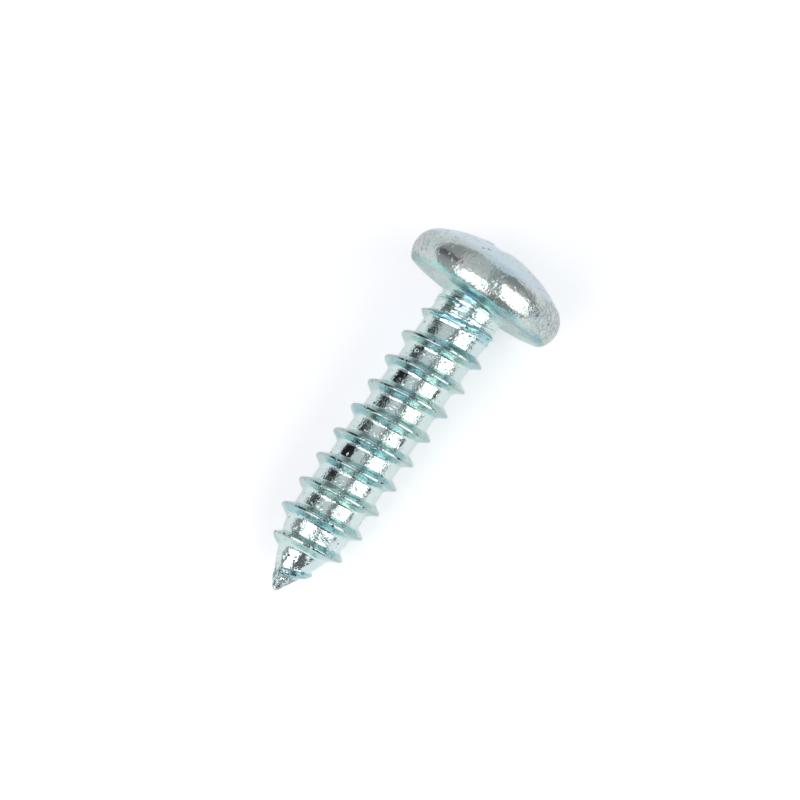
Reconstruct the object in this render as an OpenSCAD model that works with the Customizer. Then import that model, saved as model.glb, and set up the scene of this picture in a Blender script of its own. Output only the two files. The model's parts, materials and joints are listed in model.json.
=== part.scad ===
// Sheet metal screw with a pan head, a cross recess and a sharp threading point.
// It is one cold-formed piece of plated steel. It lies at rest on a flat surface, on the
// rim of its head and the crests near its point. The point is toward -X and the head
// toward +X. The surface is z = 0 and the origin is below the middle of the screw.

/* [Head] */
// Diameter over the rounded rim
head_diameter = 9.1; // [7:0.1:12]
// Height from the bearing face to the top of the crown
head_height = 3.15; // [2.4:0.05:4.2]
// Radius of the domed crown
crown_radius = 7.8; // [6.5:0.1:12]
// Radius of the rounded rim
rim_radius = 1.4; // [0.8:0.05:1.7]
// Radius of the fillet between the shank and the bearing face
neck_fillet = 0.45; // [0.15:0.05:0.8]

/* [Shank and thread] */
// Length from the bearing face to the tip
length = 18.7; // [12:0.1:40]
// Diameter over the thread crests
crest_diameter = 4.68; // [4.2:0.02:5.2]
// Diameter of the core between the threads
core_diameter = 3.56; // [3.1:0.02:4]
// Distance from one crest to the next, 16 to the inch
pitch = 1.5875; // [1.3:0.0005:2.2]
// Width of the flat along the crest
crest_land = 0.12; // [0.08:0.01:0.3]
// Slope of each flank, from the plane across the axis
flank_angle = 30; // [25:1:36]
// Slope of the wider foot of each flank, where it runs into the core
foot_angle = 41; // [30:1:50]
// Radial height of the foot
foot_height = 0.16; // [0.05:0.01:0.25]
// Distance from the bearing face to the end of the thread
runout_end = 0.5; // [0.1:0.05:1.5]
// Length over which the thread sinks into the shank under the head
runout_length = 2.3; // [0.8:0.1:4]

/* [Point] */
// Length of the tapered point
point_length = 3.9; // [2.5:0.1:6]
// Slope of the point at its nose, from the axis
nose_angle = 31; // [29:1:40]
// Radius of the nose
nose_radius = 0.2; // [0.05:0.01:0.3]
// Distance from the tip to the start of the thread
thread_start = 0.85; // [0.5:0.05:1.5]
// Length over which the thread rises out of the point
runin_length = 2.4; // [1.2:0.1:4]

/* [Cross recess] */
// Diameter across the wings at the crown
recess_diameter = 4.8; // [3.6:0.1:5.4]
// Width of a wing
wing_width = 1.08; // [0.7:0.02:1.4]
// Depth from the top of the crown to the ends of the wing floors
wing_depth = 2.2; // [1.4:0.1:2.6]
// Slope of a wing's outer end, from the axis
wing_angle = 26.5; // [20:0.5:32]
// Diameter of the round middle at the crown
hub_diameter = 2; // [1.4:0.1:2.6]

/* [As it lies] */
// Turn of the thread's start about the axis, from the side that is down
thread_turn = 96; // [0:12:348]
// Turn of a wing about the axis, from straight up
recess_turn = -14; // [-45:1:45]

/* [Hidden] */
$fn = 96;

zinc = [0.74, 0.78, 0.80];
head_r = head_diameter / 2;
core_r = core_diameter / 2;
thread_height = (crest_diameter - core_diameter) / 2;

// The crown and the rim are two circles that touch from inside
rim_r = head_r - rim_radius;
crown_centre = head_height - crown_radius;
rim_z = crown_centre + sqrt(pow(crown_radius - rim_radius, 2) - rim_r * rim_r);
neck_overlap = head_height / 4;

// The point is an arc from the nose to the full core
nose_end = [nose_radius * (1 - sin(nose_angle)), nose_radius * cos(nose_angle)];
point_chord = [point_length, core_r] - nose_end;
chord_angle = atan2(point_chord[1], point_chord[0]);
shoulder_angle = 2 * chord_angle - nose_angle;
point_arc_r = norm(point_chord) / (2 * sin(nose_angle - chord_angle));
point_arc_centre = [point_length, core_r]
    + point_arc_r * [sin(shoulder_angle), -cos(shoulder_angle)];
point_steps = 12;
arc_steps = 8;

// The ridge is swept in short steps, with its base sunk in the core. At both of its ends
// its top dips below the core's surface too.
steps_per_turn = 30;
sunk = 0.12;
end_dip = 0.05;
step_rise = pitch / steps_per_turn;
thread_steps = floor((length - thread_start - runout_end) / step_rise);
thread_end = thread_start + thread_steps * step_rise;

// Radius of the core at a distance from the tip
function root_r(d) =
    d >= point_length ? core_r
    : d > nose_end[0] ? point_arc_centre[1]
        + sqrt(pow(point_arc_r, 2) - pow(d - point_arc_centre[0], 2))
    : sqrt(max(0, nose_radius * nose_radius - pow(nose_radius - d, 2)));

// Height of the ridge over the core at a distance from the tip
function runin(d) = sin(90 * min(1, max(0, d - thread_start) / runin_length));
function runout(d) = sqrt(min(1, max(0, thread_end - d) / runout_length));
function rise(d) = (thread_height + end_dip) * runin(d) * runout(d) - end_dip;

// Both edges of the crest wherever it crosses the side that is down
floor_crests = [for (turn = [1 : floor(thread_steps / steps_per_turn)], side = [-1, 1])
    let (d = thread_start + pitch * (turn - thread_turn / 360),
        edge = d + side * crest_land / 2)
    [edge, root_r(edge) + rise(d)]];

// The lean at which such an edge and the head's rim stand on one plane
function lean(edge) =
    let (along = rim_z + length - edge[0], across = rim_r - edge[1])
    atan2(across, along) + asin(rim_radius / norm([along, across]));

tilt = min([for (edge = floor_crests) lean(edge)]);
lift = rim_radius + rim_r * cos(tilt) - rim_z * sin(tilt);
head_reach = crown_centre * cos(tilt) + crown_radius;
tip_reach = (length - nose_radius) * cos(tilt) + nose_radius;
shift = (tip_reach - head_reach) / 2;

// Lays the upright screw down, with its axis above the X axis
module lay() {
    translate([shift, 0, lift])
        rotate([0, 90 - tilt, 0])
            children();
}

// The core, its point and the fillet under the head, upright with the bearing face at z = 0
module core() {
    point = [for (i = [1 : point_steps])
        let (d = nose_end[0] + (point_length - nose_end[0]) * i / point_steps)
        [root_r(d), d - length]];
    nose = [for (i = [0 : arc_steps])
        let (a = (90 - nose_angle) * i / arc_steps)
        [nose_radius * sin(a), nose_radius * (1 - cos(a)) - length]];
    neck = [for (i = [0 : arc_steps])
        let (a = 90 * i / arc_steps)
        [core_r + neck_fillet * (1 - cos(a)), neck_fillet * (sin(a) - 1)]];
    rotate([0, 0, 180 / steps_per_turn])
        rotate_extrude()
            polygon(concat(nose, point, neck,
                [[core_r + neck_fillet, neck_overlap], [0, neck_overlap]]));
}

// The pan head as one turned profile
module head() {
    rotate_extrude()
        intersection() {
            square([head_r, head_height]);
            union() {
                translate([rim_r, rim_z]) circle(r = rim_radius);
                intersection() {
                    translate([0, crown_centre]) circle(r = crown_radius);
                    polygon([[0, crown_centre],
                        [rim_r, rim_z] * 2 - [0, crown_centre],
                        [0, head_height * 2]]);
                }
            }
        }
}

// One section of the ridge: a sunk base, the foot, the flank and the land, on both sides
function ridge_section(d) =
    let (h = rise(d),
        foot = (foot_height + sunk) * (h + sunk) / (thread_height + sunk) - sunk,
        flank = crest_land / 2 + (h - foot) * tan(flank_angle),
        base = flank + (foot + sunk) * tan(foot_angle))
    [for (p = [[-base, -sunk], [-flank, foot], [-crest_land / 2, h],
        [crest_land / 2, h], [flank, foot], [base, -sunk]])
        [root_r(d + p[0]) + p[1], d + p[0]]];

// The helical ridge, swept up the shank from the point
module thread() {
    sections = [for (i = [0 : thread_steps])
        let (a = thread_turn + 360 * i / steps_per_turn)
        [for (p = ridge_section(thread_start + i * step_rise))
            [p[0] * cos(a), p[0] * sin(a), p[1] - length]]];
    n = len(sections[0]);
    sides = [for (i = [0 : thread_steps - 1], k = [0 : n - 1])
        let (a = i * n + k, b = i * n + (k + 1) % n)
        each [[a, b, b + n], [a, b + n, a + n]]];
    first = [for (k = [n - 1 : -1 : 0]) k];
    last = [for (k = [0 : n - 1]) thread_steps * n + k];
    polyhedron(points = [for (s = sections) each s], faces = concat(sides, [first, last]));
}

// A cutter for the cross recess, with four wings round a conical middle
module recess() {
    top = head_height + 1;
    floor_z = head_height - wing_depth;
    floor_r = recess_diameter / 2 - wing_depth * tan(wing_angle);
    mouth_r = recess_diameter / 2 + (top - head_height) * tan(wing_angle);
    wing = [[-mouth_r, top], [-floor_r, floor_z], [0, floor_z - floor_r / 2],
        [floor_r, floor_z], [mouth_r, top]];
    for (turn = [0, 90])
        rotate([0, 0, turn])
            rotate([90, 0, 0])
                linear_extrude(wing_width, center = true)
                    polygon(wing);
    translate([0, 0, floor_z])
        cylinder(h = wing_depth + 1, d1 = hub_diameter * 0.7, d2 = hub_diameter);
}

module screw() {
    color(zinc)
        lay()
            difference() {
                union() {
                    core();
                    head();
                    thread();
                }
                rotate([0, 0, recess_turn]) recess();
            }
}

screw();
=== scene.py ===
import json
import math
import bpy
from mathutils import Matrix, Vector, noise


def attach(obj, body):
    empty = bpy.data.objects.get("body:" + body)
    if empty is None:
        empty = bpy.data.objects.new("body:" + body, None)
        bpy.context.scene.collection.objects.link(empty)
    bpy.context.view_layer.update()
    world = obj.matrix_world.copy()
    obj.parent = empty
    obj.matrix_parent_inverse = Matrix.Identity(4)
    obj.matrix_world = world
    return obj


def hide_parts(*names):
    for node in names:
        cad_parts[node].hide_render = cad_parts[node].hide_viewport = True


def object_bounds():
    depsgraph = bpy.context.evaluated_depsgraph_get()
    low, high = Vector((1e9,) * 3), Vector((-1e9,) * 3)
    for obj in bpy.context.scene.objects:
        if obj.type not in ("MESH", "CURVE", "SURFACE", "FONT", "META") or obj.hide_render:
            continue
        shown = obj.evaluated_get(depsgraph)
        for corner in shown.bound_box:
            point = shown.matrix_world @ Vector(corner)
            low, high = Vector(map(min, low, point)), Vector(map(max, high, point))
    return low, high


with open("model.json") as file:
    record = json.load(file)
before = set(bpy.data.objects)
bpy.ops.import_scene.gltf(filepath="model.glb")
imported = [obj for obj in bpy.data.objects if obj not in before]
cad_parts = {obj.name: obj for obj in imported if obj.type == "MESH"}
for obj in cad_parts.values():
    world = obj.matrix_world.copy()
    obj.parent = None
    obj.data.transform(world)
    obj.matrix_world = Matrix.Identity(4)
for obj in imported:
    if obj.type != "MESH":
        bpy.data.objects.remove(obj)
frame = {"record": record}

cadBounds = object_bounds()
mm = 0.001


# Head. Lengths are in millimetres
headSize = {
    "diameter": 9.1,
    "height": 3.15,
    "crownRadius": 7.8,
    "rimRadius": 1.4,
    "crease": 3.98,          # radius where the crown ends in a soft edge
    "seatEdge": 0.12,        # soft corner between the rim and the bearing face
    "neckFillet": 0.45,
    "collar": 0.05,          # step where the shank meets the head
    "collarDepth": 0.38,
    "pointsAround": 384,
    "dents": 0.03,
    "fineDents": 0.006,
    "wrinklePatches": [      # turn about the axis, height, spread, depth
        (80, 1.3, 2.9, 1.0),
        (-74, 1.5, 3.0, 0.8),
    ],
}

recessSize = {
    "diameter": 4.95,
    "wingWidth": 1.2,
    "wingDepth": 2.2,
    "wingSlope": math.radians(26.5),
    "wingRound": 0.3,        # rounding between a wing's sides and its end
    "sideDraft": math.radians(2),
    "hubRadius": 0.98,
    "hubDraft": 0.1,
    "hubRound": 0.25,
    "mouthEdge": 0.09,
    "turn": math.radians(-14),
}

# The screw's own axes, read from the frame's mounts: x is down, y is across, z is along
mounts = {m["name"]: m for m in frame["record"]["mounts"]}
axisDir = Vector(mounts["drive_recess"]["axis"]).normalized()
acrossDir = Vector((0, 1, 0))
downDir = acrossDir.cross(axisDir)
seatCentre = Vector(mounts["drive_recess"]["pos_m"]) - axisDir * headSize["height"] * mm


def toWorld(x, y, z):
    return seatCentre + (downDir * x + acrossDir * y + axisDir * z) * mm


def softMin(a, b, k):
    h = max(k - abs(a - b), 0) / k
    return min(a, b) - h * h * k / 4


def softMax(a, b, k):
    return -softMin(-a, -b, k)


def smoothStep(a, b, x):
    t = min(1, max(0, (x - a) / (b - a)))
    return t * t * (3 - 2 * t)


def lump(point, scale, seed):
    return noise.noise(point * scale + Vector((seed, 1.7 * seed, -seed)))


def addObject(name, data):
    thing = bpy.data.objects.new(name, data)
    bpy.context.scene.collection.objects.link(thing)
    return thing


def newPiece(name, verts, faces):
    mesh = bpy.data.meshes.new(name)
    mesh.from_pydata(verts, [], faces)
    mesh.validate()
    mesh.update()
    for poly in mesh.polygons:
        poly.use_smooth = True
    return addObject(name, mesh)


# Masks for the materials, one value per point. "top" is the crown on the head and the
# crest on the thread, which get a painted reflection, and "across" runs across the streaks
def newMarks():
    return {"filmAndReflection": [], "top": [], "across": [], "streaks": [], "worn": []}


def paint(piece, marks):
    for name, values in marks.items():
        layer = piece.data.attributes.new(name, "FLOAT", "POINT")
        layer.data.foreach_set("value", values)


def crownHeight(r):
    crown = headSize["crownRadius"]
    return headSize["height"] - crown + math.sqrt(crown ** 2 - r * r)


def recessRadius(angle, z):
    size = recessSize
    depth = headSize["height"] - z
    local = (angle - size["turn"] + math.pi / 4) % (math.pi / 2) - math.pi / 4
    reach = size["diameter"] / 2 - depth * math.tan(size["wingSlope"])
    halfWing = size["wingWidth"] / 2 - depth * math.tan(size["sideDraft"])
    side = halfWing / max(abs(math.sin(local)), 0.05)
    end = reach / math.cos(local)
    hub = size["hubRadius"] - depth * size["hubDraft"]
    return softMax(softMin(side, end, size["wingRound"]), hub, size["hubRound"])


# The head's profile outside the cross, as (radius, height), from the crown to the neck
def headProfile(start):
    size = headSize
    profile = []

    def addArc(centreR, centreZ, radius, first, last, steps):
        for i in range(1, steps + 1):
            b = first + (last - first) * i / steps
            profile.append((centreR + radius * math.sin(b), centreZ + radius * math.cos(b)))

    rimR = size["diameter"] / 2 - size["rimRadius"]
    crownCentre = size["height"] - size["crownRadius"]
    gap = size["crownRadius"] - size["rimRadius"]
    rimZ = crownCentre + math.sqrt(gap * gap - rimR * rimR)
    crownStart = math.asin(start / size["crownRadius"])
    crownEnd = math.asin(size["crease"] / size["crownRadius"])
    addArc(0, crownCentre, size["crownRadius"], crownStart, crownEnd, 8)
    soft = size["seatEdge"]
    rimStart = math.asin((size["crease"] - rimR) / size["rimRadius"])
    rimEnd = math.acos((soft - rimZ) / (size["rimRadius"] - soft))
    addArc(rimR, rimZ, size["rimRadius"], rimStart, rimEnd, 32)
    softR = rimR + (size["rimRadius"] - soft) * math.sin(rimEnd)
    addArc(softR, soft, soft, rimEnd, math.pi, 5)

    coreR = threadSize["coreDiameter"] / 2
    neckR = coreR + size["neckFillet"]
    for i in range(1, 11):                                   # bearing face
        profile.append((softR + (neckR - softR) * i / 10, 0))
    reach = neckR - coreR - size["collar"]
    for i in range(1, 11):                                   # fillet
        b = math.pi / 2 * (1 - i / 10)
        profile.append((neckR - reach * math.cos(b), size["collarDepth"] * (math.sin(b) - 1)))
    profile.append((coreR + size["collar"] * 0.6, -size["collarDepth"] - 0.03))
    profile.append((coreR - 0.05, -size["collarDepth"] - 0.035))     # ends inside the shank
    return profile


# Closed loops of points, from the middle of the recess out over the crown and under
def makeHead():
    n = headSize["pointsAround"]
    angles = [2 * math.pi * i / n for i in range(n)]
    depth = recessSize["wingDepth"]
    floorZ = headSize["height"] - depth
    floorReach = recessSize["diameter"] / 2 - depth * math.tan(recessSize["wingSlope"])
    edge = recessSize["mouthEdge"]
    loops = []

    def floorHeight(r):
        return floorZ - (floorReach - r) / 2

    floorEdge = [recessRadius(a, floorZ) for a in angles]
    mouth = []
    for a in angles:
        r = recessRadius(a, headSize["height"])
        mouth.append(recessRadius(a, crownHeight(r) - edge))
    for i in range(1, 11):                                   # floor of the recess
        loops.append([(r * i / 10, floorHeight(r * i / 10)) for r in floorEdge])
    for i in range(1, 17):                                   # walls
        loop = []
        for a, r, m in zip(angles, floorEdge, mouth):
            low = floorHeight(r)
            high = crownHeight(m + edge) - edge
            z = low + (high - low) * i / 16
            loop.append((recessRadius(a, max(z, floorZ)), z))
        loops.append(loop)
    for i in range(1, 6):                                    # rounded mouth
        b = math.pi / 2 * i / 5
        out, down = edge * (1 - math.cos(b)), edge * (1 - math.sin(b))
        loops.append([(m + out, crownHeight(m + edge) - down) for m in mouth])
    outer = recessSize["diameter"] / 2 + 0.5
    for i in range(1, 15):                                   # crown, from the cross to a circle
        s = i / 14
        radii = [(m + edge) * (1 - s) + outer * s for m in mouth]
        loops.append([(r, crownHeight(r)) for r in radii])
    for r, z in headProfile(outer):
        loops.append([(r, z)] * n)

    verts = [toWorld(0, 0, floorHeight(0))]
    for loop in loops:
        for a, (r, z) in zip(angles, loop):
            verts.append(toWorld(r * math.cos(a), r * math.sin(a), z))
    faces = [(0, 1 + i, 1 + (i + 1) % n) for i in range(n)]
    for k in range(len(loops) - 1):
        base = 1 + k * n
        for i in range(n):
            j = (i + 1) % n
            faces.append((base + i, base + n + i, base + n + j, base + j))
    piece = newPiece("screwHead", verts, faces)
    markHead(piece)
    dentHead(piece)
    return piece


def markHead(piece):
    marks = newMarks()
    for vert in piece.data.vertices:
        fromSeat = (vert.co - seatCentre) / mm
        z = fromSeat.dot(axisDir)
        side = fromSeat - axisDir * z
        r = side.length
        turn = math.degrees(math.atan2(-side.dot(acrossDir), -side.dot(downDir)))
        # passivate film with painted shade and reflection: the teal is deepest under the head,
        # where light bounces between head and shank, in the middle of the upward side, and in the
        # recess
        under = 1 - smoothStep(0.04, 0.24, z + 0.14 * lump(fromSeat, 1.3, 51))
        under *= 1 - 0.3 * smoothStep(22, 60, abs(turn - 2))
        under *= 0.6 + 0.4 * smoothStep(2.3, 3.6, r)
        hollow = 0
        if r < 2.6 and z > 0.2:
            hollow = 1 - smoothStep(0.0, 0.3, z - crownHeight(min(r, 3)) + 0.3)
        marks["filmAndReflection"].append(0.1 + 0.9 * max(under, 0.8 * hollow))
        # the edge of the crown's painted pale reflection reaches lower on one side
        dip = 0.3 * smoothStep(-15, -80, turn) * (1 - smoothStep(-110, -160, turn))
        crown = smoothStep(1.92, 2.02, z + dip + 0.05 * lump(fromSeat, 1.4, 53))
        marks["top"].append(crown)
        marks["across"].append(r - z)
        marks["streaks"].append(0.08 + 0.6 * (1 - smoothStep(0.1, 0.9, z)))
        share = 0
        for patchTurn, patchZ, spread, strength in headSize["wrinklePatches"]:
            aside = math.radians((turn - patchTurn + 180) % 360 - 180) * r
            apart = math.hypot(aside, z - patchZ)
            share = max(share, strength * (1 - smoothStep(spread * 0.4, spread, apart)))
        share = min(1, max(0, share + 0.25 * lump(fromSeat, 0.9, 17)))
        outside = (1 - 0.8 * crown) * smoothStep(2.5, 3.1, r)
        marks["worn"].append(share * outside)
    paint(piece, marks)


def dentHead(piece):
    normals = [vert.normal.copy() for vert in piece.data.vertices]
    for vert, normal in zip(piece.data.vertices, normals):
        fromSeat = (vert.co - seatCentre) / mm
        dent = headSize["dents"] * (0.5 + 0.5 * lump(fromSeat, 0.7, 9))
        dent += headSize["fineDents"] * (0.5 + 0.5 * lump(fromSeat, 2.6, 13))
        vert.co -= normal * dent * mm


# Thread: one skin over the core and the ridge, wound like the thread itself
threadSize = {
    "length": 18.7,
    "crestDiameter": 4.68,
    "coreDiameter": 3.56,
    "pitch": 1.5875,
    "land": 0.11,
    "startLand": 0.2,        # the thread starts as a thick lip
    "flank": math.radians(30),
    "rootFillet": 0.26,      # on the side toward the tip
    "backFillet": 0.1,
    "backFlank": math.radians(28),
    "crestRound": 0.14,
    "start": 0.85,           # from the tip
    "startTurn": math.radians(96),
    "runin": 2.4,
    "runout": 2.3,
    "runoutPower": 0.9,
    "end": 0.4,              # from the bearing face
    "pointLength": 3.9,
    "noseAngle": math.radians(31),
    "noseRadius": 0.2,
    "firstTurnShift": 0.24,  # the first turn is rolled closer to the tip
    "wobble": 0.025,         # how far the crest wanders along the axis
    "nicks": 0.035,          # dips along the crest
    "tipLumps": 0.04,
    "tornLength": 3.1,       # the last turn under the head is torn
    "torn": 0.15,
    "tornNicks": 0.35,
    "lipAside": 0.56,        # a low second lip is folded beside the torn turn
    "lipLand": 0.16,
    "lipFlank": math.radians(42),
    "stepsAround": 140,
    "stepsAcross": 44,
    "crestCrowding": 1.25,   # draws the points across toward the crest
}
ridgeFull = (threadSize["crestDiameter"] - threadSize["coreDiameter"]) / 2


# Here and below, d is the distance from the tip along the axis
def coreRadius(d):
    t = threadSize
    core = t["coreDiameter"] / 2
    nose = t["noseRadius"]
    noseEnd = (nose * (1 - math.sin(t["noseAngle"])), nose * math.cos(t["noseAngle"]))
    if d >= t["pointLength"]:
        return core
    if d <= noseEnd[0]:
        return math.sqrt(max(0, nose * nose - (nose - d) ** 2))
    chord = (t["pointLength"] - noseEnd[0], core - noseEnd[1])
    chordAngle = math.atan2(chord[1], chord[0])
    arc = math.hypot(*chord) / (2 * math.sin(t["noseAngle"] - chordAngle))
    shoulder = 2 * chordAngle - t["noseAngle"]
    centre = (t["pointLength"] + arc * math.sin(shoulder), core - arc * math.cos(shoulder))
    return centre[1] + math.sqrt(arc * arc - (d - centre[0]) ** 2)


def ridgeHeight(d):
    t = threadSize
    runin = math.sin(math.pi / 2 * min(1, max(0, d - t["start"]) / t["runin"]))
    left = t["length"] - t["end"] - d
    runout = min(1, max(0, left) / t["runout"]) ** t["runoutPower"]
    return ridgeFull * runin * runout


def tornAmount(d):
    left = threadSize["length"] - d
    fadeOut = smoothStep(0.35, 0.75, left)
    return (1 - smoothStep(1.2, threadSize["tornLength"], left)) * fadeOut


# Height of the crest, and of the ridge's skin at the distance off beside it
def ridgeSection(centre, off, along, torn):
    t = threadSize
    nick = t["nicks"] / ridgeFull * max(0, lump(along, 1.6, 23))
    nick += t["tornNicks"] * torn * max(0, lump(along, 1.1, 5))
    h = ridgeHeight(centre) * (1 - nick)
    land = t["land"] + t["startLand"] * (1 - smoothStep(1.0, 2.3, centre))
    slope = math.tan(t["flank"] if off < 0 else t["backFlank"])
    ridge = h - max(0, abs(off) - land / 2) / slope
    if h > 0.05:
        ridge = softMin(ridge, h, t["crestRound"])
    if torn > 0:
        ridge -= 0.18 * h * torn
        apart = abs(off + t["lipAside"] + 0.1 * lump(along, 0.8, 37))
        lip = 0.5 * h - max(0, apart - t["lipLand"]) / math.tan(t["lipFlank"])
        lip += 0.16 * lump(along, 1.3, 31)
        ridge = softMax(ridge, lip - (1 - torn), 0.1)
    return h, ridge


def makeThread():
    t = threadSize
    pitch = t["pitch"]
    around = t["stepsAround"]
    across = t["stepsAcross"]
    last = t["length"] + 0.1
    offsets = []
    for k in range(across + 1):
        u = 2 * k / across - 1
        offsets.append(pitch / 2 * math.copysign(abs(u) ** t["crestCrowding"], u))
    firstStep = int(math.floor((-pitch / 2 - t["start"]) / pitch * around)) - 1
    lastStep = int(math.ceil((last + pitch / 2 - t["start"]) / pitch * around)) + 1
    verts = []
    marks = newMarks()
    index = {}

    def addVertex(step, k):
        centre = t["start"] + pitch * step / around
        a = t["startTurn"] + 2 * math.pi * step / around
        d = min(max(centre + offsets[k], 0), last)
        radial = Vector((math.cos(a), math.sin(a), 0))
        along = radial * 2 + Vector((0, 0, centre))
        torn = tornAmount(d)
        shift = t["wobble"] * lump(along, 0.9, 11) * (1 + 4 * torn)
        shift -= t["firstTurnShift"] * (1 - smoothStep(0.7, 2.1, centre))
        off = offsets[k] - shift
        h, ridge = ridgeSection(centre, off, along, torn)
        fillet = t["rootFillet"] if off < 0 else t["backFillet"]
        r = coreRadius(d) + softMax(0, ridge, fillet)
        place = radial * r + Vector((0, 0, d))
        folds = lump(Vector((0, 0, offsets[k] * 8)) + radial * 1.6, 1, 41)
        folds += 0.5 * lump(place, 2.6, 43)
        r += t["torn"] * torn * folds * smoothStep(-0.1, 0.3, ridge + 0.1)
        lumps = lump(place, 2.4, 3) + 0.35 * lump(place, 5, 7)
        lumps *= smoothStep(0, 0.3, d) * (1 - smoothStep(2.6, 4.8, d))
        r += t["tipLumps"] * lumps
        if d <= 0:
            r = 0
        verts.append(toWorld(r * math.cos(a), r * math.sin(a), d - t["length"]))
        rise = max(0, r - coreRadius(d)) / max(0.1, h)
        # painted reflection over the passivate film: the teal deepens up the flanks, standing for
        # light bounced between them
        marks["filmAndReflection"].append(0.12 + 0.88 * smoothStep(0.03, 0.35, rise))
        # crest mask, where painted shade goes
        marks["top"].append(smoothStep(0.85, 0.95, rise) * smoothStep(0.02, 0.12, h))
        marks["across"].append(abs(offsets[k]))
        marks["streaks"].append(0.12 + 0.3 * smoothStep(0.05, 0.3, rise) + 1.8 * torn)
        marks["worn"].append(1 - smoothStep(0.9, 1.5, d))

    def vertex(step, k):
        if k == across:                                      # shared with the next turn
            step, k = step + around, 0
        if (step, k) not in index:
            index[(step, k)] = len(verts)
            addVertex(step, k)
        return index[(step, k)]

    faces = []
    for step in range(firstStep, lastStep):
        centre = t["start"] + pitch * step / around
        for k in range(across):
            beforeTip = centre + offsets[k + 1] + pitch / around <= 0
            if beforeTip or centre + offsets[k] >= last:
                continue
            corners = ((step, k), (step, k + 1), (step + 1, k + 1), (step + 1, k))
            faces.append(tuple(vertex(*corner) for corner in corners))
    piece = newPiece("threadedShank", verts, faces)
    paint(piece, marks)
    return piece


head = makeHead()
thread = makeThread()
for piece in (head, thread):
    for vert in piece.data.vertices:                         # it rests on the floor, not in it
        vert.co.z = max(vert.co.z, cadBounds[0][2])
print("pieces made", len(head.data.polygons), len(thread.data.polygons))


# Nodes
def newGroup(name, inputs, outputs):
    group = bpy.data.node_groups.new(name, "ShaderNodeTree")
    kinds = {"Vector": "NodeSocketVector", "Color": "NodeSocketColor"}
    for label, value in inputs.items():
        kind = "NodeSocketFloat"
        if isinstance(value, tuple):
            kind = kinds["Vector" if len(value) == 3 else "Color"]
        socket = group.interface.new_socket(name=label, in_out="INPUT", socket_type=kind)
        socket.default_value = value
    for label in outputs:
        kind = kinds.get(label, "NodeSocketFloat")
        group.interface.new_socket(name=label, in_out="OUTPUT", socket_type=kind)
    start = group.nodes.new("NodeGroupInput")
    end = group.nodes.new("NodeGroupOutput")
    return group, start.outputs, end.inputs


def feed(tree, socket, value):
    if isinstance(value, (int, float, tuple)):
        socket.default_value = value
    else:
        tree.links.new(value, socket)


def addNode(tree, kind, values=None, **settings):
    node = tree.nodes.new(kind)
    for key, value in settings.items():
        setattr(node, key, value)
    for key, value in (values or {}).items():
        feed(tree, node.inputs[key], value)
    return node


def mathNode(tree, operation, a, b=None, clamp=False):
    node = addNode(tree, "ShaderNodeMath", operation=operation, use_clamp=clamp)
    feed(tree, node.inputs[0], a)
    if b is not None:
        feed(tree, node.inputs[1], b)
    return node.outputs[0]


def times(tree, a, b, clamp=False):
    return mathNode(tree, "MULTIPLY", a, b, clamp)


def plus(tree, a, b, clamp=False):
    return mathNode(tree, "ADD", a, b, clamp)


def fadeNode(tree, source, low, high, atLow=0.0, atHigh=1.0):
    node = addNode(tree, "ShaderNodeMapRange", {
        "Value": source,
        "From Min": low,
        "From Max": high,
        "To Min": atLow,
        "To Max": atHigh,
    }, interpolation_type="SMOOTHSTEP")
    return node.outputs["Result"]


def mixColor(tree, share, a, b):
    node = addNode(tree, "ShaderNodeMix", data_type="RGBA")
    for key, value in (("Factor", share), ("A", a), ("B", b)):
        feed(tree, [x for x in node.inputs if x.name == key and x.enabled][0], value)
    return [x for x in node.outputs if x.name == "Result" and x.enabled][0]


def scaledVector(tree, vector, scale):
    node = addNode(tree, "ShaderNodeVectorMath", {0: vector, "Scale": scale}, operation="SCALE")
    return node.outputs[0]


# The vector pushed about by noise, so that what is drawn on it turns crooked
def bentVector(tree, vector, scale, detail, amount):
    values = {"Vector": vector, "Scale": scale, "Detail": detail}
    bend = addNode(tree, "ShaderNodeTexNoise", values)
    offset = scaledVector(tree, bend.outputs["Color"], amount)
    moved = addNode(tree, "ShaderNodeVectorMath", {0: vector, 1: offset}, operation="ADD")
    return moved.outputs[0]


# Grain left by plating: fine crystals over a slower swell, stronger in patches
def makeGrainGroup():
    group, start, end = newGroup("platingGrain", {
        "Vector": (0, 0, 0),
        "Grain Scale": 8,
        "Swell Scale": 1.4,
        "Patch Scale": 0.8,
        "Grain": 1,
        "Swell": 1,
    }, ["Height", "Patches", "Speckle"])

    def noiseNode(label, detail, roughness):
        return addNode(group, "ShaderNodeTexNoise", {
            "Vector": start["Vector"],
            "Scale": start[label],
            "Detail": detail,
            "Roughness": roughness,
        }).outputs["Fac"]

    fine = noiseNode("Grain Scale", 2, 0.55)
    swell = noiseNode("Swell Scale", 1, 0.5)
    patch = fadeNode(group, noiseNode("Patch Scale", 2, 0.6), 0.36, 0.62, 0.35, 1.0)
    grain = times(group, times(group, fine, start["Grain"]), patch)
    slow = times(group, swell, start["Swell"])
    feed(group, end["Height"], plus(group, grain, slow))
    feed(group, end["Patches"], patch)
    feed(group, end["Speckle"], fadeNode(group, fine, 0.5, 0.66))
    return group


# Wrinkles of the forged skin: crooked cells with sunk borders
def makeWrinkleGroup():
    group, start, end = newGroup("forgedWrinkles", {
        "Vector": (0, 0, 0),
        "Scale": 4,
        "Twist": 0.6,
        "Amount": 1,
    }, ["Height", "Lines"])
    cells = addNode(group, "ShaderNodeTexVoronoi", {
        "Vector": bentVector(group, start["Vector"], 2.2, 2, start["Twist"]),
        "Scale": start["Scale"],
    }, feature="DISTANCE_TO_EDGE")
    plateau = fadeNode(group, cells.outputs["Distance"], 0.0, 0.2)
    lines = fadeNode(group, cells.outputs["Distance"], 0.02, 0.13, 1.0, 0.0)
    feed(group, end["Height"], times(group, plateau, start["Amount"]))
    feed(group, end["Lines"], times(group, lines, start["Amount"]))
    return group


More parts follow.
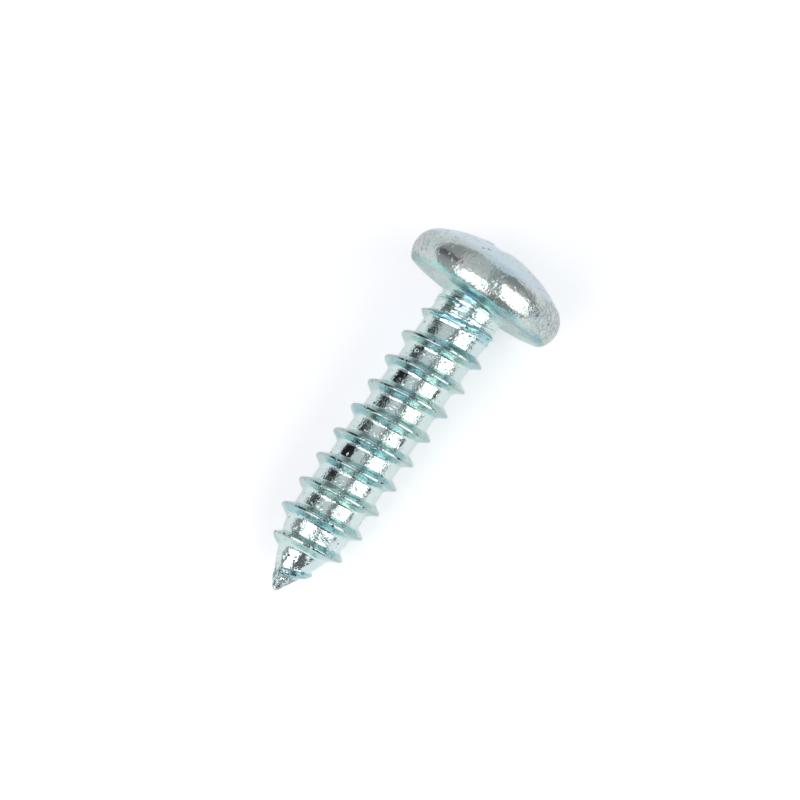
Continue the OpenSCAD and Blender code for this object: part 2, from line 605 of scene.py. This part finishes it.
# Streaks drawn out by the rolling dies: fine across, long along
def makeStreakGroup():
    group, start, end = newGroup("rolledStreaks", {
        "Vector": (0, 0, 0),
        "Across": 0,
        "Along Scale": 0.8,
        "Across Scale": 7,
        "Amount": 1,
    }, ["Height"])
    lines = addNode(group, "ShaderNodeTexNoise", {
        "Vector": scaledVector(group, start["Vector"], start["Along Scale"]),
        "W": times(group, start["Across"], start["Across Scale"]),
        "Scale": 1,
        "Detail": 2,
    }, noise_dimensions="4D")
    feed(group, end["Height"], times(group, lines.outputs["Fac"], start["Amount"]))
    return group


# Small flecks: pores or pimples in the plating, a few to each square millimetre
def makeFleckGroup():
    group, start, end = newGroup("platingFlecks", {
        "Vector": (0, 0, 0),
        "Scale": 2.2,
        "Size": 0.14,
        "Share": 0.3,
        "Edge": 22,
    }, ["Flecks"])
    cells = addNode(group, "ShaderNodeTexVoronoi", {
        "Vector": bentVector(group, start["Vector"], 7, 1, 0.16),
        "Scale": start["Scale"],
    }, feature="F1")
    parts = addNode(group, "ShaderNodeSeparateColor", {0: cells.outputs["Color"]}).outputs
    size = times(group, start["Size"], plus(group, parts[1], 0.4))
    near = mathNode(group, "SUBTRACT", size, cells.outputs["Distance"])
    near = times(group, near, start["Edge"], clamp=True)
    chosen = mathNode(group, "LESS_THAN", parts[0], start["Share"])
    feed(group, end["Flecks"], times(group, near, chosen))
    return group


# Passivate film over zinc, drifting between two tints; the amount of tint also holds the painted
# reflection of the film mask
def makeTintGroup():
    group, start, end = newGroup("filmAndReflectionTint", {
        "Vector": (0, 0, 0),
        "Metal": (0.8, 0.84, 0.86, 1),
        "Film": (0.4, 0.72, 0.76, 1),
        "Deep Film": (0.3, 0.6, 0.72, 1),
        "Scale": 0.5,
        "Thickness": 0.5,
        "Drift": 0.5,
    }, ["Color"])
    drift = addNode(group, "ShaderNodeTexNoise", {
        "Vector": start["Vector"],
        "Scale": start["Scale"],
        "Detail": 4,
    })
    parts = addNode(group, "ShaderNodeSeparateColor", {0: drift.outputs["Color"]}).outputs
    change = times(group, mathNode(group, "SUBTRACT", parts[0], 0.5), start["Drift"])
    share = plus(group, start["Thickness"], change, clamp=True)
    hue = fadeNode(group, parts[2], 0.4, 0.62)
    filmAndReflection = mixColor(group, hue, start["Film"], start["Deep Film"])
    feed(group, end["Color"], mixColor(group, share, start["Metal"], filmAndReflection))
    return group


grainGroup = makeGrainGroup()
wrinkleGroup = makeWrinkleGroup()
streakGroup = makeStreakGroup()
fleckGroup = makeFleckGroup()
tintGroup = makeTintGroup()

# Finishes. Scales are counts per millimetre
headFinish = {
    "name": "satinZinc",
    "metallic": 0.84,        # its satin skin scatters some of the light
    "metal": (0.67, 0.69, 0.67, 1),
    "filmAndReflection": (0.42, 0.76, 0.69, 1),
    "deepFilm": (0.10, 0.42, 0.52, 1),
    "tintScale": 0.6,
    "tintDrift": 0.7,
    "grainScale": 6.5,
    "swellScale": 1.8,
    "patchScale": 0.9,
    "grain": 0.85,
    "swell": 0.3,
    "bump": 0.03,            # millimetres
    "roughness": (0.11, 0.17),
    "wrinkleScale": 3.0,
    "wrinkle": 0.45,
    "wrinkleLines": 0.6,
    "wornRoughness": 0.16,
    "speckle": (0.12, 0.15),  # all over, and more where it is worn
    "streakScale": 6.0,
    "streaks": 1.0,
    "pimpleScale": 4.5,
    "pimples": 0.6,
    "fleckScale": 3.2,
    "fleckSize": 0.24,
    "fleckShare": 0.5,
    "fleckBase": 0.1,        # share of the flecks away from the top and the worn parts
    "fleckColor": (0.17, 0.19, 0.20, 1),
    "topReflectionColor": (0.58, 0.70, 0.78, 1),     # the crown, painted with a pale reflection
}

threadFinish = {
    "name": "brightZinc",
    "metallic": 1,
    "metal": (0.71, 0.80, 0.79, 1),
    "filmAndReflection": (0.58, 0.76, 0.70, 1),
    "deepFilm": (0.34, 0.60, 0.66, 1),
    "tintScale": 0.7,
    "tintDrift": 0.6,
    "grainScale": 8.0,
    "swellScale": 1.3,
    "patchScale": 0.7,
    "grain": 0.8,
    "swell": 0.3,
    "bump": 0.036,
    "roughness": (0.02, 0.05),
    "wrinkleScale": 3.0,
    "wrinkle": 0.5,
    "wrinkleLines": 0.6,
    "wornRoughness": 0.08,
    "speckle": (0.0, 0.4),
    "streakScale": 6.5,
    "streaks": 1.5,
    "pimpleScale": 3.2,
    "pimples": 1.5,
    "fleckScale": 2.4,
    "fleckSize": 0.16,
    "fleckShare": 0.35,
    "fleckBase": 1.0,
    "fleckColor": (0.05, 0.06, 0.07, 1),
    "topReflectionColor": (0.46, 0.52, 0.51, 1),     # the crest, darkened with painted shade for the shadowed table it reflects
}
pimpleShape = {"Size": 0.3, "Share": 0.35, "Edge": 5.0}
poreDepth = 0.5              # as a share of the bump


def zincMaterial(finish):
    mat = bpy.data.materials.new(finish["name"])
    mat.use_nodes = True
    tree = mat.node_tree
    coords = addNode(tree, "ShaderNodeTexCoord").outputs["Object"]
    where = scaledVector(tree, coords, 1 / mm)
    marks = {}
    for name in newMarks():
        node = addNode(tree, "ShaderNodeAttribute", attribute_name=name)
        marks[name] = node.outputs["Fac"]

    def place(group, values):
        values = {"Vector": where, **values}
        return addNode(tree, "ShaderNodeGroup", values, node_tree=group).outputs

    grain = place(grainGroup, {
        "Grain Scale": finish["grainScale"],
        "Swell Scale": finish["swellScale"],
        "Patch Scale": finish["patchScale"],
        "Grain": finish["grain"],
        "Swell": finish["swell"],
    })
    wrinkles = place(wrinkleGroup, {
        "Scale": finish["wrinkleScale"],
        "Amount": marks["worn"],
    })
    streaks = place(streakGroup, {
        "Across": marks["across"],
        "Across Scale": finish["streakScale"],
        "Amount": times(tree, marks["streaks"], finish["streaks"]),
    })
    pimples = place(fleckGroup, {"Scale": finish["pimpleScale"], **pimpleShape})
    flecks = place(fleckGroup, {
        "Scale": finish["fleckScale"],
        "Size": finish["fleckSize"],
        "Share": finish["fleckShare"],
    })
    tint = place(tintGroup, {
        "Metal": finish["metal"],
        "Film": finish["filmAndReflection"],
        "Deep Film": finish["deepFilm"],
        "Scale": finish["tintScale"],
        "Thickness": marks["filmAndReflection"],
        "Drift": finish["tintDrift"],
    })

    fleckRoom = plus(tree, marks["worn"], finish["fleckBase"])
    fleckRoom = plus(tree, marks["top"], fleckRoom, clamp=True)
    dark = times(tree, flecks["Flecks"], fleckRoom)
    lines = times(tree, wrinkles["Lines"], finish["wrinkleLines"])
    dark = mathNode(tree, "MAXIMUM", dark, lines)
    least, more = finish["speckle"]
    speckle = plus(tree, times(tree, marks["worn"], more), least)
    dark = mathNode(tree, "MAXIMUM", dark, times(tree, speckle, grain["Speckle"]))
    # the crown gets a painted pale reflection and the crest painted shade
    skin = mixColor(tree, marks["top"], tint["Color"], finish["topReflectionColor"])

    smooth, rough = finish["roughness"]
    roughness = times(tree, grain["Patches"], rough - smooth)
    roughness = plus(tree, roughness, times(tree, marks["worn"], finish["wornRoughness"]))

    height = times(tree, wrinkles["Height"], finish["wrinkle"])
    height = plus(tree, height, grain["Height"])
    height = plus(tree, height, streaks["Height"])
    height = plus(tree, height, times(tree, pimples["Flecks"], finish["pimples"]))
    height = mathNode(tree, "SUBTRACT", height, times(tree, flecks["Flecks"], poreDepth))
    bump = addNode(tree, "ShaderNodeBump", {
        "Strength": 1,
        "Distance": finish["bump"] * mm,
        "Height": height,
    })

    bsdf = tree.nodes["Principled BSDF"]
    for key, value in {
        "Base Color": mixColor(tree, dark, skin, finish["fleckColor"]),
        "Metallic": finish["metallic"],
        "Roughness": plus(tree, roughness, smooth),
        "Normal": bump.outputs["Normal"],
    }.items():
        feed(tree, bsdf.inputs[key], value)
    return mat


head.data.materials.append(zincMaterial(headFinish))
thread.data.materials.append(zincMaterial(threadFinish))
for piece in (head, thread):
    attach(piece, "root")
    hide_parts("screw")
print("materials made")


# Studio: a white table, two softboxes and a grey room with darker and paler parts. A turn
# is about the screw's axis, from straight up, and a lean is toward its head, in degrees
studio = {
    "tableReach": 2,                       # metres
    "tableColor": (0.80, 0.80, 0.78),
    "tableGlow": (0.42, 0.41, 0.44),       # for the camera and through glass
    "glossyGlow": 0.6,                     # share of that glow seen in the metal
    "roomColor": (0.36, 0.38, 0.39),
    "sweepColor": (0.80, 0.87, 0.91),      # pale backdrop, low all round
    "sweepTop": 9,                         # degrees over the table
    "backColor": (0.75, 0.86, 0.97),       # and behind the head
    "backLean": 73,
    "sweepGap": (-82, 101, 75),            # turns and lean where the low sweep is missing
    "softEdge": 6,                         # degrees
    "parts": [                             # turn from, turn to, lean from, lean to, light level
        (-84, -38, -6, 11, 0.06),
        (-88, -50, -18, 20, 0.7),
        (-86, -47, 20, 52, 0.75),
        (-84, -38, -64, -16, 0.85),
        (-165, -92, 6, 50, 0.6),
        (-48, 2, 12, 75, 1.5),
        (-36, 3, -14, 12, 1.8),
        (6, 24, -16, 34, 0.65),
        (2, 88, 43, 75, 0.55),
        (-12, 84, -78, -31, 0.4),
        (75, 101, -1, 40, 0.08),
        (104, 175, 5, 65, 1.9),
    ],
    "boxAim": (0, 0, 0.004),
    "boxes": [                             # turn, lean, width, height, distance, light level, tint
        ("rightBox", 52, 0, 0.45, 0.51, 0.5, 2.0, (0.96, 1.0, 0.99)),
        ("leftBox", -17, -34, 0.39, 0.42, 0.5, 2.15, (1.0, 0.975, 1.03)),
    ],
}


def makeFloor():
    reach = studio["tableReach"]
    corners = [(-reach, -reach, 0), (reach, -reach, 0), (reach, reach, 0), (-reach, reach, 0)]
    mesh = bpy.data.meshes.new("floor")
    mesh.from_pydata(corners, [], [(0, 1, 2, 3)])
    floor = addObject("floor", mesh)
    mat = bpy.data.materials.new("whiteTable")
    mat.use_nodes = True
    tree = mat.node_tree
    tree.nodes.clear()
    path = addNode(tree, "ShaderNodeLightPath").outputs
    seen = times(tree, path["Is Glossy Ray"], studio["glossyGlow"])
    seen = mathNode(tree, "MAXIMUM", path["Is Camera Ray"], seen)
    seen = mathNode(tree, "MAXIMUM", seen, path["Is Transmission Ray"])
    glow = {"Color": (*studio["tableGlow"], 1), "Strength": seen}
    glow = addNode(tree, "ShaderNodeEmission", glow)
    paper = addNode(tree, "ShaderNodeBsdfDiffuse", {"Color": (*studio["tableColor"], 1)})
    both = addNode(tree, "ShaderNodeAddShader", {0: paper.outputs[0], 1: glow.outputs[0]})
    addNode(tree, "ShaderNodeOutputMaterial", {"Surface": both.outputs[0]})
    mesh.materials.append(mat)


def towardNode(tree, source, direction):
    values = {0: source, 1: tuple(direction)}
    node = addNode(tree, "ShaderNodeVectorMath", values, operation="DOT_PRODUCT")
    return node.outputs["Value"]


def backgroundNode(tree, color, strength=1):
    values = {"Color": (*color, 1), "Strength": strength}
    return addNode(tree, "ShaderNodeBackground", values).outputs[0]


def mixShader(tree, share, a, b):
    return addNode(tree, "ShaderNodeMixShader", {0: share, 1: a, 2: b}).outputs[0]


def makeWorld():
    world = bpy.data.worlds.new("studio")
    bpy.context.scene.world = world
    world.use_nodes = True
    tree = world.node_tree
    tree.nodes.clear()
    where = addNode(tree, "ShaderNodeTexCoord").outputs["Generated"]
    aside = towardNode(tree, where, -acrossDir)
    upward = towardNode(tree, where, -downDir)
    turn = mathNode(tree, "ARCTAN2", aside, upward)
    lean = mathNode(tree, "ARCSINE", towardNode(tree, where, axisDir))
    soft = math.radians(studio["softEdge"]) / 2

    def above(source, edge):
        return fadeNode(tree, source, edge - soft, edge + soft)

    def below(source, edge):
        return fadeNode(tree, source, edge - soft, edge + soft, 1.0, 0.0)

    def between(source, low, high):
        return times(tree, above(source, low), below(source, high))

    total = 1.0
    for *edges, level in studio["parts"]:
        turnFrom, turnTo, leanFrom, leanTo = (math.radians(edge) for edge in edges)
        inside = times(tree, between(turn, turnFrom, turnTo), between(lean, leanFrom, leanTo))
        total = times(tree, total, plus(tree, times(tree, inside, level - 1), 1))
    room = backgroundNode(tree, studio["roomColor"], total)

    height = addNode(tree, "ShaderNodeSeparateXYZ", {0: where}).outputs["Z"]
    low = below(height, math.sin(math.radians(studio["sweepTop"])))
    gapFrom, gapTo, gapLean = (math.radians(edge) for edge in studio["sweepGap"])
    gap = times(tree, between(turn, gapFrom, gapTo), below(lean, gapLean))
    low = times(tree, low, mathNode(tree, "SUBTRACT", 1.0, gap))
    around = mixShader(tree, low, room, backgroundNode(tree, studio["sweepColor"]))
    behind = above(lean, math.radians(studio["backLean"]))
    around = mixShader(tree, behind, around, backgroundNode(tree, studio["backColor"]))

    path = addNode(tree, "ShaderNodeLightPath").outputs
    white = backgroundNode(tree, (1, 1, 1))
    seen = mixShader(tree, path["Is Camera Ray"], around, white)
    addNode(tree, "ShaderNodeOutputWorld", {"Surface": seen})


def makeBoxes():
    for name, turn, lean, width, height, distance, level, tint in studio["boxes"]:
        turn, lean = math.radians(turn), math.radians(lean)
        toward = -downDir * math.cos(turn) - acrossDir * math.sin(turn)
        toward = toward * math.cos(lean) + axisDir * math.sin(lean)
        data = bpy.data.lights.new(name, "AREA")
        data.shape = "RECTANGLE"
        data.size, data.size_y = width, height
        data.energy = level * math.pi * width * height
        data.color = tint
        box = addObject(name, data)
        across = axisDir.cross(toward).normalized()
        along = toward.cross(across)
        facing = Matrix((across, along, toward)).transposed().to_4x4()
        centre = Vector(studio["boxAim"]) + toward * distance
        box.matrix_world = Matrix.Translation(centre) @ facing


makeFloor()
makeWorld()
makeBoxes()
print("studio made")

# Camera
cameraView = {
    "azimuth": math.radians(214.77),
    "elevation": math.radians(74.6),
    "roll": math.radians(0.6),
    "distance": 0.190,
    "pixelsPerMm": 18.81,
    "lookAt": (0.0, 0.0, 0.0035),
    "centrePixel": (392.6, 419.6),         # where that point lies in the frame
    "frame": 800,
    "sensorWidth": 36,
}


def makeCamera():
    c = cameraView
    out = Vector((math.cos(c["elevation"]) * math.cos(c["azimuth"]),
                  math.cos(c["elevation"]) * math.sin(c["azimuth"]),
                  math.sin(c["elevation"])))
    right = (-out).cross(Vector((0, 0, 1))).normalized()
    up = right.cross(-out)
    rolledRight = right * math.cos(c["roll"]) + up * math.sin(c["roll"])
    rolledUp = up * math.cos(c["roll"]) - right * math.sin(c["roll"])
    half = c["frame"] / 2
    target = Vector(c["lookAt"])
    target += rolledRight * (half - c["centrePixel"][0]) / c["pixelsPerMm"] * mm
    target += rolledUp * (c["centrePixel"][1] - half) / c["pixelsPerMm"] * mm
    data = bpy.data.cameras.new("camera")
    data.sensor_width = c["sensorWidth"]
    data.lens = c["sensorWidth"] * c["pixelsPerMm"] * c["distance"] / mm / c["frame"]
    data.clip_start = 0.005
    camera = addObject("camera", data)
    turn = Matrix((rolledRight, rolledUp, out)).transposed().to_4x4()
    camera.matrix_world = Matrix.Translation(target + out * c["distance"]) @ turn
    return camera


bpy.context.scene.camera = makeCamera()
bpy.context.scene.view_settings.view_transform = "Standard"
